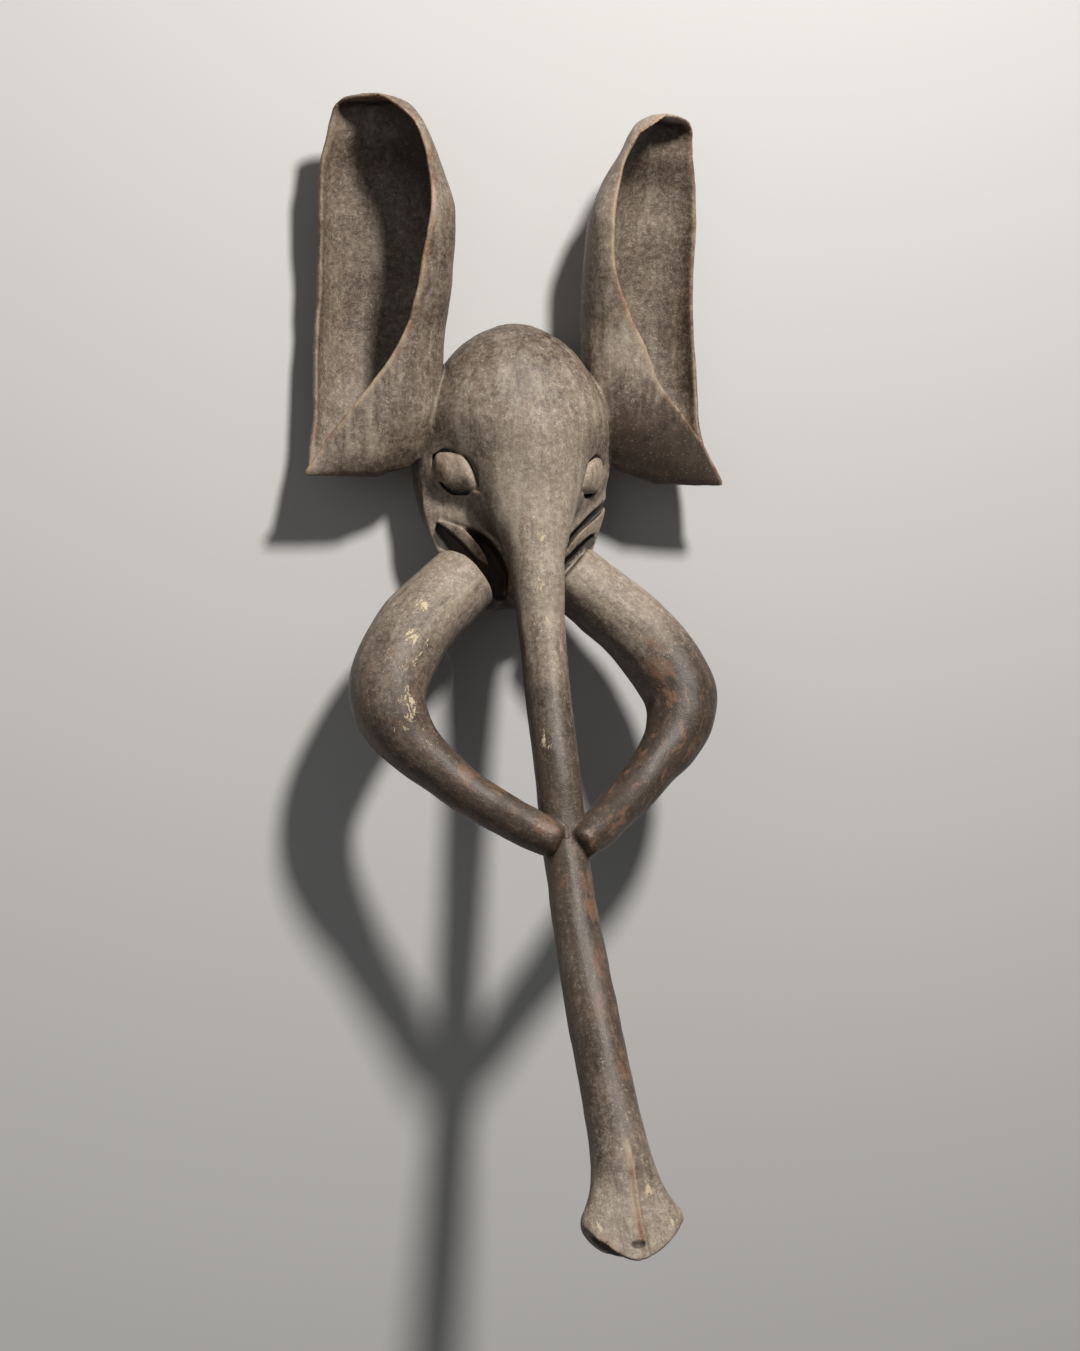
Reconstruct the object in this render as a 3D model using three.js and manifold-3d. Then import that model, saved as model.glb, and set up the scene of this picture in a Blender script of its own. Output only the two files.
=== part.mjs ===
// Carved wooden elephant mask: domed head hollowed from behind, scooped ears, tusks that meet on the trunk.
// Millimetres. It lies on the rim of its hollow, with +X to the mask's left, +Y towards the ear tops
// and +Z out of the face.
// The origin is under the middle of its length, on the surface that it lies on.

import * as THREE from 'three';
import { mergeVertices } from 'three/addons/utils/BufferGeometryUtils.js';
import Module from 'manifold-3d';

const wasm = await Module();
wasm.setup();

// Head
const FACE_HEIGHT = 69;
const CROWN_Y = 376;
const WIDEST_Y = 214;
const CHIN_Y = 46;
const HEAD = { halfWidth: 117, front: 95, back: 104, crown: CROWN_Y, chin: CHIN_Y };
const HOLLOW = { halfWidth: 102, front: 68, back: 99, crown: CROWN_Y - 15, chin: CHIN_Y + 40 };
const JAW_TAPER = 1.95;
const BACK_FULLNESS = 2.2;
const JAW_BACK = { fullness: 1.35, from: 110, to: 190 };
const DOME_FULLNESS = 2;
const CHEEK_FULLNESS = 1.2;
const FILLET = 16;

// Snout: a ridge that grows out of the forehead, by its height on the mask
const SNOUT_END_Y = 104;
const SNOUT_FADE = 14;
const SNOUT_HALF_WIDTH = levels([
  [88, 31], [104, 34], [127, 41], [150, 49], [180, 56], [210, 62], [260, 70], [330, 10],
]);
const SNOUT_FORWARD = levels([
  [88, 71], [104, 66], [127, 58], [150, 48], [180, 42], [210, 38], [260, 24], [330, 0],
]);
const SNOUT_HALF_DEPTH = levels([
  [88, 33], [104, 37], [127, 43], [150, 52], [180, 56], [210, 58], [260, 68], [330, 10],
]);

// Trunk: centre line from inside the snout to the tip
const TRUNK_LINE = [
  [118, 134], [88, 145], [31, 158], [-27, 174], [-85, 191], [-142, 212], [-200, 228],
  [-257, 250], [-326, 283], [-395, 322], [-464, 361], [-545, 407], [-592, 434],
];
const TRUNK_HALF_WIDTH = levels([
  [-592, 57], [-584, 55], [-574, 48], [-560, 40], [-545, 35.5], [-522, 32], [-500, 30], [-450, 28.5],
  [-350, 27.5], [-250, 25], [-100, 25.3], [31, 26.5], [60, 28.5], [88, 31], [118, 33],
]);
const TRUNK_HALF_DEPTH = levels([
  [-592, 34], [-560, 33], [-500, 29], [-400, 27], [-250, 25], [31, 26], [60, 28], [88, 30], [118, 31],
]);
const TIP_POINT = 29;
const TIP_POINT_LENGTH = 46;
const TIP_BLUNTNESS = 1.5;
const TIP_RIDGE = 3;
const NOSTRIL = { halfLength: 24, halfWidth: 20, depth: 18 };

// Tusks: centre line of the +X one from the root in the mouth to the tip on the trunk, with its radius
const TUSK_LINE = [
  [60, 90, 86], [97, 58, 97], [131, 28, 109], [158, -8, 124], [174, -42, 139], [173, -68, 150],
  [157, -100, 163], [130, -128, 177], [100, -155, 194], [66, -178, 215], [36, -197, 238], [13, -210, 254],
];
const TUSK_RADIUS = [39, 41.5, 43, 44, 43, 40, 33.5, 27.5, 24.5, 23.5, 22, 18.5];
const END_ROUNDING = { root: 0.03, rootGirth: 0.86, tip: 0.035, tipGirth: 0.62 };
const LEFT_ROOT = { girth: 0.96, trim: 0 };
const RIGHT_ROOT = { girth: 1.03, trim: 0.015 };

// Ears: the closed pod of the +X one, by height, then the wall and the opening in it
const EAR_TOP = 626;
const EAR_BOTTOM = 196;
const EAR_WALL = 10;
const OUTER_WALL = 0.65;
const KEEL_RISE = 0.32;
const EAR_TURN = levels([
  [196, -5], [226, -2], [317, 4], [380, 7], [450, 14], [541, 19], [586, 24], [626, 24],
]);
const EAR_ASIDE = levels([
  [196, 189], [226, 175], [272, 163], [362, 160], [423, 157], [492, 159], [586, 177], [626, 181],
]);
const EAR_FORWARD = levels([
  [196, 79], [226, 72], [272, 64], [317, 60], [362, 61], [405, 68], [492, 84], [541, 89], [586, 100],
  [626, 94],
]);
const EAR_HALF_WIDTH = levels([
  [196, 64], [203, 70], [226, 74], [272, 75], [362, 75], [423, 77], [492, 78], [541, 71], [586, 58],
  [609, 46], [620, 30], [626, 0],
]);
const EAR_FRONT = levels([
  [196, 4], [203, 12], [226, 28], [272, 44], [317, 51], [423, 58], [492, 54], [541, 50], [586, 42],
  [609, 33], [620, 22], [626, 0],
]);
const EAR_BACK = levels([
  [196, 4], [203, 12], [226, 30], [272, 46], [317, 53], [423, 58], [492, 57], [541, 53], [586, 44],
  [609, 33], [620, 22], [626, 0],
]);
const OPENING_TURN = 25;
const EAR_OPENING = [
  [197, 198], [143, 283], [110, 330], [81, 382], [61, 440], [51, 500], [55, 550], [70, 588], [92, 608],
  [110, 619], [126, 629],
];
const OPENING_LEVEL = levels([
  [180, 182], [197, 178], [226, 162], [283, 150], [387, 144], [510, 150], [560, 151], [596, 156], [612, 165],
  [626, 178], [640, 190],
]);
const OPENING_REACH = 300;
const OPENING_STEPS = [636, 626, 612, 596, 560, 510, 450, 387, 330, 283, 226, 197];

// Eyes, lips and mouth
const EYE = { y: 201, angle: 24.5, halfLength: 32, halfWidth: 20, bulge: 13, slope: 39, sunk: 4 };
const SOCKET_MARGIN = 3.5;
const SOCKET_DEPTH = 9;
const LIP_LINE = [[101, 148, 71], [90, 143, 76], [74, 129, 80], [57, 115, 81], [42, 101, 80]];
const LIP_HALF_THICKNESS = [4, 6, 6.5, 6, 2.5];
const LIP_HALF_DEPTH = [6, 7, 8, 7, 5];
const GROOVE_LINE = [[103, 166, 79], [85, 153, 89], [68, 141, 93], [50, 125, 94], [36, 108, 91]];
const GROOVE_HALF_WIDTH = [3.5, 5.5, 7.5, 8, 6];
const GROOVE_HALF_DEPTH = [4, 7, 8, 9, 10];
const MOUTH_LINE = [[98, 134, 73], [80, 120, 80], [62, 105, 82], [45, 91, 81], [36, 82, 80]];
const MOUTH_HALF_WIDTH = [4, 8, 9.5, 10, 8];
const MOUTH_HALF_DEPTH = [5, 8, 10, 12, 10];

// Facets
const HEAD_AROUND = 36;
const HEAD_RINGS = 25;
const EAR_AROUND = 20;
const EAR_RINGS = 15;

// Smooth value at a height, from [height, value] stations that rise in height
function levels(stations) {
  const slopes = stations.slice(1).map(([y, v], i) => (v - stations[i][1]) / (y - stations[i][0]));
  const tangents = stations.map((station, i) => {
    const before = slopes[Math.max(i - 1, 0)];
    const after = slopes[Math.min(i, slopes.length - 1)];
    return before * after <= 0 ? 0 : (2 * before * after) / (before + after);
  });
  return (y) => {
    const last = stations.length - 2;
    const i = Math.min(Math.max(stations.findIndex((s) => s[0] > y) - 1, 0), last);
    const index = y >= stations[last + 1][0] ? last : i;
    const width = stations[index + 1][0] - stations[index][0];
    const t = Math.min(Math.max((y - stations[index][0]) / width, 0), 1);
    const keep = (1 + 2 * t) * (1 - t) ** 2;
    const gain = t * t * (3 - 2 * t);
    const leave = t * (1 - t) ** 2 * width * tangents[index];
    const arrive = t * t * (t - 1) * width * tangents[index + 1];
    return keep * stations[index][1] + gain * stations[index + 1][1] + leave + arrive;
  };
}

// The closed manifold of a geometry whose shared vertices are merged
function solidOf(geometry) {
  const mesh = new wasm.Mesh({
    numProp: 3,
    vertProperties: new Float32Array(geometry.attributes.position.array),
    triVerts: new Uint32Array(geometry.index.array),
  });
  const solid = new wasm.Manifold(mesh);
  if (solid.volume() > 0) {
    return solid;
  }
  mesh.triVerts = mesh.triVerts.map((vertex, i, all) => all[i - (i % 3) + (2 - (i % 3))]);
  return new wasm.Manifold(mesh);
}

// Merges a closed geometry's shared vertices, moves each by a function and makes the result a solid
function shaped(geometry, move) {
  geometry.deleteAttribute('normal');
  geometry.deleteAttribute('uv');
  const merged = mergeVertices(geometry, 1e-5);
  const points = merged.attributes.position;
  const point = new THREE.Vector3();
  for (let i = 0; i < points.count; i += 1) {
    point.fromBufferAttribute(points, i);
    const moved = move(point);
    points.setXYZ(i, moved.x, moved.y, moved.z);
  }
  return solidOf(merged);
}

// A solid and its copy on the mask's other side
function bothSides(solid) {
  return solid.add(solid.mirror([1, 0, 0]));
}

// Value at a share of the way along a list of evenly spaced values
function along(values, share) {
  const place = Math.min(Math.max(share, 0), 1) * (values.length - 1);
  const index = Math.min(Math.floor(place), values.length - 2);
  return THREE.MathUtils.lerp(values[index], values[index + 1], place - index);
}

// A round limb swept along points, with its half sizes across and front to back at each, and eased ends;
// its first share can be trimmed off
function limb(line, halfWidths, halfDepths, around, rings, ends, trim = 0) {
  const curve = new THREE.CatmullRomCurve3(line.map((p) => new THREE.Vector3(...p)), false, 'centripetal');
  const forward = new THREE.Vector3(0, 0, 1);
  return shaped(new THREE.CylinderGeometry(1, 1, 1, around, rings), (p) => {
    const share = trim + (1 - trim) * (ends ? easedShare(0.5 - p.y, rings, ends) : 0.5 - p.y);
    const girth = ends ? endGirth(0.5 - p.y, ends) : 1;
    const tangent = curve.getTangent(share);
    const side = new THREE.Vector3().crossVectors(tangent, forward).normalize();
    const front = new THREE.Vector3().crossVectors(side, tangent);
    return curve.getPoint(share)
      .addScaledVector(side, p.x * girth * along(halfWidths, share))
      .addScaledVector(front, p.z * girth * along(halfDepths, share));
  });
}

// Draws the second and the last but one ring close to the ends, so that the ends are rounded off short
function easedShare(share, rings, ends) {
  const ring = Math.round(share * rings);
  if (ring <= 0 || ring >= rings) {
    return share;
  }
  return THREE.MathUtils.mapLinear(ring, 1, rings - 1, ends.root, 1 - ends.tip);
}

function endGirth(share, ends) {
  if (share < 1e-6) {
    return ends.rootGirth;
  }
  return share > 1 - 1e-6 ? ends.tipGirth : 1;
}

// How far the head reaches from its axis at a height, in a direction turned from +X towards +Z
function headReach(size, y, angle, withSnout) {
  const up = y > WIDEST_Y;
  const end = up ? size.crown : size.chin;
  const rise = (y - WIDEST_Y) / (end - WIDEST_Y);
  const taper = up ? 2 : JAW_TAPER;
  const girth = Math.max(1 - Math.min(rise, 1) ** taper, 0) ** (1 / taper);
  const halfWidth = size.halfWidth * girth;
  const front = size.front * (up ? girth : Math.max(1 - Math.min(rise, 1) ** 1.3, 0) ** 1.5);
  const inFront = Math.sin(angle) > 0;
  const face = THREE.MathUtils.smoothstep(y, WIDEST_Y - 8, WIDEST_Y + 76);
  const behind = THREE.MathUtils.smoothstep(y, JAW_BACK.from, JAW_BACK.to);
  const fullness = inFront
    ? THREE.MathUtils.lerp(CHEEK_FULLNESS, DOME_FULLNESS, face)
    : THREE.MathUtils.lerp(JAW_BACK.fullness, BACK_FULLNESS, behind);
  const depth = inFront ? front : size.back * (up ? girth : 1);
  if (girth < 1e-6 || depth < 1e-6) {
    return 0;
  }
  const across = Math.abs(Math.cos(angle) / halfWidth) ** fullness;
  const reach = (across + Math.abs(Math.sin(angle) / depth) ** fullness) ** (-1 / fullness);
  return withSnout ? softMax(reach, snoutReach(y, angle), FILLET) : reach;
}

// How far the snout's oval section reaches from the head's axis in a direction
function snoutReach(y, angle) {
  const fade = THREE.MathUtils.smoothstep(y, SNOUT_END_Y - SNOUT_FADE, SNOUT_END_Y);
  const halfWidth = SNOUT_HALF_WIDTH(y) * 0.97 * fade;
  const halfDepth = SNOUT_HALF_DEPTH(y) * 0.97 * fade;
  const forward = SNOUT_FORWARD(y) * fade;
  if (fade < 0.01) {
    return 0;
  }
  const a = (Math.cos(angle) / halfWidth) ** 2 + (Math.sin(angle) / halfDepth) ** 2;
  const b = (-2 * Math.sin(angle) * forward) / halfDepth ** 2;
  const c = (forward / halfDepth) ** 2 - 1;
  const inside = b * b - 4 * a * c;
  return inside > 0 ? (-b + Math.sqrt(inside)) / (2 * a) : 0;
}

// The larger of two values, rounded where they meet
function softMax(a, b, radius) {
  const near = Math.max(radius - Math.abs(a - b), 0) / radius;
  return Math.max(a, b) + near * near * radius * 0.25;
}

// A point of the head's skin
function headPoint(size, y, angle, withSnout) {
  const reach = headReach(size, y, angle, withSnout);
  return new THREE.Vector3(reach * Math.cos(angle), y, FACE_HEIGHT + reach * Math.sin(angle));
}

function headSolid(size, around, rings, withSnout) {
  return shaped(new THREE.SphereGeometry(1, around, rings), (p) => {
    const y = WIDEST_Y + p.y * (p.y > 0 ? size.crown - WIDEST_Y : WIDEST_Y - size.chin);
    if (Math.hypot(p.x, p.z) < 1e-6) {
      return new THREE.Vector3(0, y, FACE_HEIGHT);
    }
    return headPoint(size, y, Math.atan2(p.z, p.x), withSnout);
  });
}

// An almond: pointed at both ends of its length, at a place, along three directions
function almond(centre, length, across, outward, halfLength, halfWidth, halfHeight) {
  return shaped(new THREE.SphereGeometry(1, 16, 8), (p) => {
    const pinch = Math.sqrt(Math.max(1 - p.x * p.x, 0));
    return centre.clone()
      .addScaledVector(length, p.x * halfLength)
      .addScaledVector(across, p.y * pinch * halfWidth)
      .addScaledVector(outward, p.z * pinch * halfHeight);
  });
}

// Where the +X eye sits on the face, and the directions of its length, width and bulge
function eyeFrame() {
  const angle = THREE.MathUtils.degToRad(EYE.angle);
  const centre = headPoint(HEAD, EYE.y, angle, true);
  const below = headPoint(HEAD, EYE.y - 12, angle, true);
  const above = headPoint(HEAD, EYE.y + 12, angle, true);
  const down = below.sub(above).normalize();
  const nearer = headPoint(HEAD, EYE.y, angle + 0.15, true);
  const inwards = nearer.sub(headPoint(HEAD, EYE.y, angle - 0.15, true));
  const outward = new THREE.Vector3().crossVectors(inwards, down).normalize();
  const level = new THREE.Vector3().crossVectors(down, outward).normalize();
  const slope = THREE.MathUtils.degToRad(EYE.slope);
  const length = level.clone().multiplyScalar(Math.cos(slope)).addScaledVector(down, Math.sin(slope));
  const across = new THREE.Vector3().crossVectors(outward, length).normalize();
  return { centre, length, across, outward };
}

function eyeball() {
  const { centre, length, across, outward } = eyeFrame();
  const seat = centre.clone().addScaledVector(outward, -EYE.sunk);
  return almond(seat, length, across, outward, EYE.halfLength, EYE.halfWidth, EYE.bulge);
}

function eyeSocket() {
  const { centre, length, across, outward } = eyeFrame();
  const halfLength = EYE.halfLength + SOCKET_MARGIN;
  const halfWidth = EYE.halfWidth + SOCKET_MARGIN;
  return almond(centre, length, across, outward, halfLength, halfWidth, SOCKET_DEPTH);
}

// Middle of the ear's pod at a height
function earCentre(y) {
  return new THREE.Vector3(EAR_ASIDE(y), y, EAR_FORWARD(y));
}

// The +X ear's closed pod, thinner all over by an inset
function earPod(inset, around, rings) {
  const bottom = EAR_BOTTOM + inset * 1.6;
  const height = EAR_TOP - inset - bottom;
  return shaped(new THREE.SphereGeometry(1, around, rings), (p) => {
    const y = bottom + (height * (p.y + 1)) / 2;
    const turn = THREE.MathUtils.degToRad(EAR_TURN(y));
    const outwards = new THREE.Vector3(Math.cos(turn), 0, -Math.sin(turn));
    const frontwards = new THREE.Vector3(Math.sin(turn), 0, Math.cos(turn));
    const ring = Math.hypot(p.x, p.z);
    const centre = earCentre(y);
    const halfWidth = Math.max(EAR_HALF_WIDTH(y) - inset * (p.x > 0 ? OUTER_WALL : 1), 1);
    const halfDepth = Math.max((p.z > 0 ? EAR_FRONT(y) : EAR_BACK(y)) - inset, 1);
    if (ring > 1e-6) {
      centre.addScaledVector(outwards, (p.x / ring) * halfWidth);
      centre.addScaledVector(frontwards, (p.z / ring) * halfDepth);
    }
    const low = 1 - THREE.MathUtils.smoothstep(y, EAR_BOTTOM, EAR_BOTTOM + 90);
    centre.y += low * KEEL_RISE * Math.max(172 - centre.x, 0);
    return centre;
  });
}

// What is cut from the pod to open it: everything in front of the opening's level, out past the ear's side
function earOpening() {
  const outline = new THREE.Shape();
  outline.moveTo(OPENING_REACH, EAR_BOTTOM - 30);
  outline.lineTo(EAR_OPENING[0][0], EAR_BOTTOM - 30);
  outline.lineTo(...EAR_OPENING[0]);
  outline.splineThru(EAR_OPENING.slice(1).map(([u, y]) => new THREE.Vector2(u, y)));
  OPENING_STEPS.forEach((y) => outline.lineTo(OPENING_REACH, y));
  outline.closePath();
  const block = new THREE.ExtrudeGeometry(outline, { depth: 1, bevelEnabled: false, curveSegments: 3 });
  return shaped(block, (p) => {
    const level = OPENING_LEVEL(p.y) + p.z * 120;
    const turned = new THREE.Vector3(p.x, p.y, level);
    return turned.applyAxisAngle(new THREE.Vector3(0, 1, 0), THREE.MathUtils.degToRad(OPENING_TURN));
  });
}

function ear() {
  const shell = earPod(0, EAR_AROUND, EAR_RINGS).subtract(earPod(EAR_WALL, EAR_AROUND, EAR_RINGS));
  return shell.subtract(earOpening());
}

// One tusk, on the +X side unless mirrored: its root is a little stouter and shorter, or not
function tusk({ girth, trim }) {
  const last = TUSK_RADIUS.length - 1;
  const radii = TUSK_RADIUS.map((radius, i) => {
    return radius * THREE.MathUtils.lerp(girth, 1, Math.min((2 * i) / last, 1));
  });
  return limb(TUSK_LINE, radii, radii, 14, 17, END_ROUNDING, trim);
}

// The trunk, with a pointed end between two slanting faces and a low ridge down its front near the tip
function trunk() {
  const points = TRUNK_LINE.map(([y, z]) => new THREE.Vector3(0, y, z));
  const curve = new THREE.CatmullRomCurve3(points, false, 'centripetal');
  const length = curve.getLength();
  return shaped(new THREE.CylinderGeometry(1, 1, 1, 18, 22), (p) => {
    const share = 0.5 - p.y;
    const centre = curve.getPointAt(share);
    const tangent = curve.getTangentAt(share);
    const front = new THREE.Vector3(0, -tangent.z, tangent.y).multiplyScalar(-1);
    const halfWidth = TRUNK_HALF_WIDTH(centre.y);
    const ridge = TIP_RIDGE * Math.exp(-((p.x / 0.3) ** 2)) * Math.max(p.z, 0);
    const left = length * (1 - share);
    const nearTip = 1 - THREE.MathUtils.smoothstep(left, 0, TIP_POINT_LENGTH);
    const point = TIP_POINT * (1 - Math.abs(p.x) ** TIP_BLUNTNESS) * nearTip;
    return centre.addScaledVector(front, p.z * TRUNK_HALF_DEPTH(centre.y) + ridge * nearTip)
      .addScaledVector(tangent, point)
      .add(new THREE.Vector3(p.x * halfWidth, 0, 0));
  });
}

// The hollow of the +X nostril, sunk in the slanting end face between the trunk's point and its corner
function nostril() {
  const [[aboveY, aboveZ], [endY, endZ]] = TRUNK_LINE.slice(-2);
  const tangent = new THREE.Vector3(0, endY - aboveY, endZ - aboveZ).normalize();
  const front = new THREE.Vector3(0, tangent.z, -tangent.y);
  const corner = new THREE.Vector3(TRUNK_HALF_WIDTH(endY), endY, endZ);
  const point = new THREE.Vector3(0, endY, endZ).addScaledVector(tangent, TIP_POINT);
  const length = corner.clone().sub(point).normalize();
  const outward = new THREE.Vector3().crossVectors(length, front).normalize();
  const middle = corner.add(point).multiplyScalar(0.5);
  return almond(middle, length, front, outward, NOSTRIL.halfLength, NOSTRIL.halfWidth, NOSTRIL.depth);
}

function buildMask() {
  const grooves = bothSides(limb(GROOVE_LINE, GROOVE_HALF_WIDTH, GROOVE_HALF_DEPTH, 10, 8));
  const mouth = bothSides(limb(MOUTH_LINE, MOUTH_HALF_WIDTH, MOUTH_HALF_DEPTH, 10, 7));
  const lips = bothSides(limb(LIP_LINE, LIP_HALF_THICKNESS, LIP_HALF_DEPTH, 8, 8));
  const face = headSolid(HEAD, HEAD_AROUND, HEAD_RINGS, true)
    .subtract(bothSides(eyeSocket()))
    .subtract(grooves)
    .subtract(mouth)
    .add(lips)
    .add(bothSides(eyeball()));
  const whole = face.add(bothSides(ear()))
    .add(trunk().subtract(bothSides(nostril())))
    .subtract(headSolid(HOLLOW, 20, 12, false))
    .add(tusk(LEFT_ROOT))
    .add(tusk(RIGHT_ROOT).mirror([1, 0, 0]));
  const below = shaped(new THREE.BoxGeometry(900, 1600, 200), (p) => p.clone().setZ(p.z - 100));
  return whole.subtract(below);
}

function meshOf(name, solid, material) {
  const { vertProperties, triVerts } = solid.getMesh();
  const geometry = new THREE.BufferGeometry();
  geometry.setAttribute('position', new THREE.BufferAttribute(new Float32Array(vertProperties), 3));
  geometry.setIndex(new THREE.BufferAttribute(new Uint32Array(triVerts), 1));
  geometry.computeVertexNormals();
  const mesh = new THREE.Mesh(geometry, material);
  mesh.name = name;
  return mesh;
}

const agedWood = new THREE.MeshStandardMaterial({ color: 0x5b5047, roughness: 0.8, metalness: 0 });
const part = new THREE.Group();
const mask = meshOf('elephant_mask', buildMask(), agedWood);
mask.geometry.computeBoundingBox();
mask.position.y = -mask.geometry.boundingBox.getCenter(new THREE.Vector3()).y;
part.add(mask);

export default part;
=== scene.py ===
import math

import bpy
import numpy as np
from mathutils import Matrix, Vector


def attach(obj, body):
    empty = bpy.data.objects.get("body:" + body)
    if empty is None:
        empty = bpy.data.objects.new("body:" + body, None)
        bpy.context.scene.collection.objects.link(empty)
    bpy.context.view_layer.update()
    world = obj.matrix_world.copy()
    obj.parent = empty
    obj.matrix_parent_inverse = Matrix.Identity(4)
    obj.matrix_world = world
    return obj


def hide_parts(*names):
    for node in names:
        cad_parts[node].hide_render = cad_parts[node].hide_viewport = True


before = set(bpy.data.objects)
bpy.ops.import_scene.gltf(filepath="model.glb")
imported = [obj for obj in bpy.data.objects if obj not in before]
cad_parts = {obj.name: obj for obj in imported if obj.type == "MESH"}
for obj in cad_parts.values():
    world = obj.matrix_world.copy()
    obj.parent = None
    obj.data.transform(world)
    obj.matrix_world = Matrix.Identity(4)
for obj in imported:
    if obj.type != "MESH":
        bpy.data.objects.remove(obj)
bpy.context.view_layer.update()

# Camera: above the mask, which lies on its back, from the side that the photograph is taken from
# The focal length is a share of the picture's height
SENSOR = 36
FOCAL_LENGTH = 2900 / 1351
TURN = math.radians(20)
CAMERA_PLACE = (-1.1136, -0.0230, 3.2127)
camera_data = bpy.data.cameras.new("camera")
camera_data.lens = SENSOR * FOCAL_LENGTH
camera_data.sensor_width = SENSOR
camera_data.sensor_fit = "AUTO"
camera_data.clip_end = 50
camera = bpy.data.objects.new("camera", camera_data)
bpy.context.collection.objects.link(camera)
right = Vector((math.cos(TURN), 0, math.sin(TURN)))
up = Vector((0, 1, 0))
towards = Matrix((right, up, right.cross(up))).transposed().to_4x4()
towards.translation = CAMERA_PLACE
camera.matrix_world = towards
bpy.context.scene.camera = camera

# The mask's shape, in millimetres, before its length is centred. First the head: heights are along y, from
# the chin to the crown, and z is forward. FULLNESS is the power of a section's outline, 2 for an oval.
FACE_HEIGHT = 69
CROWN_Y = 376
WIDEST_Y = 214
CHIN_Y = 46
HEAD = dict(half_width=117, front=95, back=104, crown=CROWN_Y, chin=CHIN_Y)
HOLLOW = dict(half_width=102, front=68, back=99, crown=CROWN_Y - 15, chin=CHIN_Y + 40)
JAW_TAPER = 1.95
BACK_FULLNESS = 2.2
JAW_BACK_FULLNESS = 1.35
DOME_FULLNESS = 2
CHEEK_FULLNESS = 1.2
FILLET = 24
LEAST_WALL = 5
CHIN_CUT = 4
JAW_BACK = (110, 190)
SNOUT_END_Y = 104
SNOUT_FADE = 14


def levels(stations):
    """Smooth value at a height, from stations that rise in height."""
    heights, values = np.array(stations, float).T
    slopes = np.diff(values) / np.diff(heights)
    before = np.concatenate([slopes[:1], slopes])
    after = np.concatenate([slopes, slopes[-1:]])
    total = np.where(before * after > 0, before + after, 1)
    tangents = np.where(before * after > 0, 2 * before * after / total, 0)

    def value(y):
        i = np.clip(np.searchsorted(heights, y, side="right") - 1, 0, len(heights) - 2)
        width = heights[i + 1] - heights[i]
        t = np.clip((y - heights[i]) / width, 0, 1)
        keep = (1 + 2 * t) * (1 - t) ** 2
        gain = t * t * (3 - 2 * t)
        leave = t * (1 - t) ** 2 * width * tangents[i]
        arrive = t * t * (t - 1) * width * tangents[i + 1]
        return keep * values[i] + gain * values[i + 1] + leave + arrive

    return value


SNOUT_HALF_WIDTH = levels([
    (88, 31), (104, 34), (127, 43), (150, 52.5), (180, 61), (210, 67), (260, 74), (330, 10)])
SNOUT_FORWARD = levels([
    (88, 71), (104, 66), (127, 58), (150, 48), (180, 42), (210, 38), (260, 24), (330, 0)])
SNOUT_HALF_DEPTH = levels([
    (88, 33), (104, 37), (127, 43), (150, 52), (180, 56), (210, 58), (260, 68), (330, 10)])

# The trunk and the tusks, from root to tip
TRUNK_LINE = [
    (118, 134), (88, 145), (31, 158), (-27, 174), (-85, 191), (-142, 212), (-200, 228),
    (-257, 250), (-326, 283), (-395, 322), (-464, 361), (-545, 407), (-592, 434)]
TRUNK_HALF_WIDTH = levels([
    (-592, 57), (-584, 55), (-574, 48), (-560, 40), (-545, 35.5), (-522, 32), (-500, 30), (-450, 28.5),
    (-350, 27.5), (-250, 25), (-100, 25.3), (31, 26.5), (60, 28.5), (88, 31), (118, 33)])
TRUNK_HALF_DEPTH = levels([
    (-592, 34), (-560, 33), (-500, 29), (-400, 27), (-250, 25), (31, 26), (60, 28), (88, 30), (118, 31)])
# The trunk's tip: its point stands aside of the middle, one end face is blunter, and both lean
TIP_POINT = 37
TIP_ASIDE = 8
TIP_BLUNTNESS = (1.8, 2.1)
TIP_LEAN = 0.5
TIP_LEAN_LOSS = (0.9, 0.45)
TIP_FLAT = 13
TIP_FLAT_LENGTH = 75
TIP_ROUNDING = 2.5
TIP_RIDGE = dict(height=3.2, half_width=2.8, length=95)
NOSTRIL = dict(length=29, width=11, depth=10, forward=2)
TIP_PIT = ((-8, -607, 468), (7, 4, 4.5))
TUSK_LINE = [
    (60, 90, 86), (97, 58, 97), (131, 28, 109), (158, -8, 124), (174, -42, 139), (173, -68, 150),
    (157, -100, 163), (130, -128, 177), (100, -155, 194), (66, -178, 215), (36, -197, 238), (13, -210, 254)]
TUSK_RADIUS = [39, 41.5, 43, 44, 43, 40, 33.5, 27.5, 24.5, 23.5, 22, 18.5]
# Girth at the root, how much of the root is left off, and how much longer the tip is: first the +X tusk
TUSK_ENDS = ((0.96, -2, 7), (1.03, 7, 0))
TUSK_TIP_ROUNDING = 11
TUSK_ROOT_ROUNDING = 6

# The ears, by height
EAR_TOP = 626
EAR_BOTTOM = 196
KEEL_HEIGHT = 90
KEEL_EDGE = 172
EAR_WALL = 10
OUTER_WALL = 0.65
KEEL_RISE = 0.32
EAR_TURN = levels([
    (196, -5), (226, -2), (317, 4), (380, 7), (450, 14), (541, 19), (586, 24), (626, 24)])
EAR_ASIDE = levels([
    (196, 189), (226, 175), (272, 163), (362, 160), (423, 157), (492, 159), (586, 177), (626, 181)])
EAR_FORWARD = levels([
    (196, 79), (226, 72), (272, 64), (317, 60), (362, 61), (405, 68), (492, 84), (541, 89), (586, 100),
    (626, 94)])
EAR_HALF_WIDTH = levels([
    (196, 64), (203, 70), (226, 74), (272, 75), (362, 75), (423, 77), (492, 78), (541, 71), (586, 58),
    (609, 46), (620, 30), (626, 0)])
EAR_FRONT = levels([
    (196, 4), (203, 12), (226, 28), (272, 44), (317, 51), (423, 58), (492, 54), (541, 50), (586, 42),
    (609, 33), (620, 22), (626, 0)])
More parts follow.
